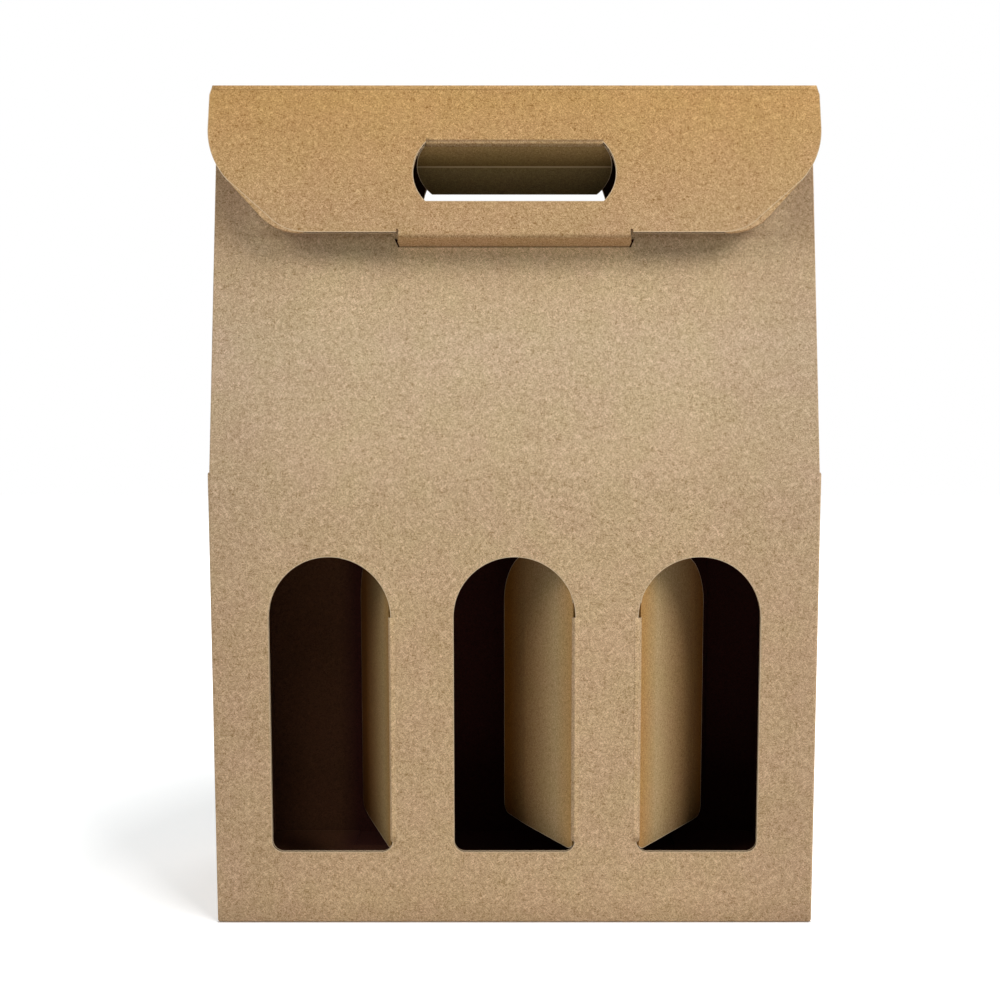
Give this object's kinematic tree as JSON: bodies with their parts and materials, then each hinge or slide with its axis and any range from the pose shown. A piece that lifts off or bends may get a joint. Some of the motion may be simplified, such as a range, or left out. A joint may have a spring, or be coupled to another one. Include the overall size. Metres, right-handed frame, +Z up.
{
  "type": "bottle shipping box",
  "caption": "Folded corrugated carrier box for bottles, with a gable top, a lid flap tucked into a slot, a hand hole, and arched windows whose flaps fold in as dividers.",
  "frame": {"origin": "centre of the base, where the box stands", "axes": "+Z up, +X along the width to the right as seen from the windowed front, which faces -Y"},
  "size_m": [0.273, 0.0932, 0.3796],
  "materials": {
    "carton_board": "uncoated kraft fine-flute corrugated board",
    "lid_board": "uncoated kraft fine-flute corrugated board",
    "flap_board": "uncoated kraft fine-flute corrugated board"
  },
  "bodies": {
    "carton": {"carton": "carton_board"},
    "lid": {"lid_flap": "lid_board"},
    "hand_flap": {"hand_flap": "flap_board"},
    "left_flap": {"window_flap_left": "flap_board"},
    "middle_flap": {"window_flap_middle": "flap_board"},
    "right_flap": {"window_flap_right": "flap_board"}
  },
  "joints": [
    {"name": "lid_fold", "type": "hinge", "parent": "carton", "child": "lid", "pos_m": [0, -0.0305, 0.37875], "axis": [-1, 0, 0], "range_deg": [0, 160]},
    {"name": "hand_flap_fold", "type": "hinge", "parent": "lid", "child": "hand_flap", "pos_m": [0, -0.03563, 0.35285], "axis": [1, 0, 0], "range_deg": [-67.5, 30]},
    {"name": "left_flap_fold", "type": "hinge", "parent": "carton", "child": "left_flap", "pos_m": [-0.0555, -0.04575, 0.09], "axis": [0, 0, -1], "range_deg": [-66, 29]},
    {"name": "middle_flap_fold", "type": "hinge", "parent": "carton", "child": "middle_flap", "pos_m": [0.0275, -0.04575, 0.09], "axis": [0, 0, -1], "range_deg": [-52.5, 42.5]},
    {"name": "right_flap_fold", "type": "hinge", "parent": "carton", "child": "right_flap", "pos_m": [0.0555, -0.04575, 0.09], "axis": [0, 0, 1], "range_deg": [-46, 49]}
  ]
}
